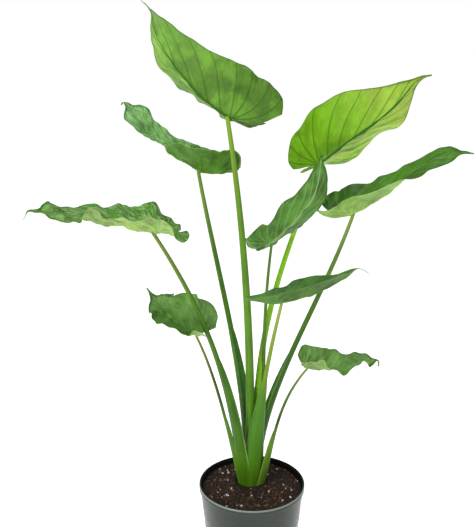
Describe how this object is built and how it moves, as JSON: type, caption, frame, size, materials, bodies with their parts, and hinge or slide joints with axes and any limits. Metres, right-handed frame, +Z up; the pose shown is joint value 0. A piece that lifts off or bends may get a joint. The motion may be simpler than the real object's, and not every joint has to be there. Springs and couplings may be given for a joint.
{
  "type": "potted alocasia stingray plant",
  "caption": "House plant with wide-winged, long-tailed leaves on tall sheathed stems, rising in one clump from the soil of a round nursery pot.",
  "frame": {"origin": "centre of the pot's flat underside", "axes": "+Z up along the pot's axis, +X to the right of the picture's view, -Y towards the viewer"},
  "size_m": [0.627, 0.2337, 0.8947],
  "materials": {
    "leaf": "soft sheen",
    "leaf_young": "soft sheen",
    "stem": "smooth, fibrous",
    "rootstock": "rough",
    "soil": "crumbly, matte",
    "pot": "semi-gloss"
  },
  "bodies": {
    "root": {"leaf_crown": "leaf", "leaf_upper_left": "leaf", "leaf_left": "leaf", "leaf_young": "leaf_young", "leaf_middle": "leaf", "leaf_lower_front": "leaf", "leaf_right": "leaf", "leaf_low_right": "leaf", "leaf_low_left": "leaf", "stem_crown": "stem", "stem_upper_left": "stem", "stem_left": "stem", "stem_young": "stem", "stem_middle": "stem", "stem_lower_front": "stem", "stem_right": "stem", "stem_low_right": "stem", "stem_low_left": "stem", "rootstock": "rootstock", "soil": "soil", "nursery_pot": "pot"}
  },
  "joints": []
}
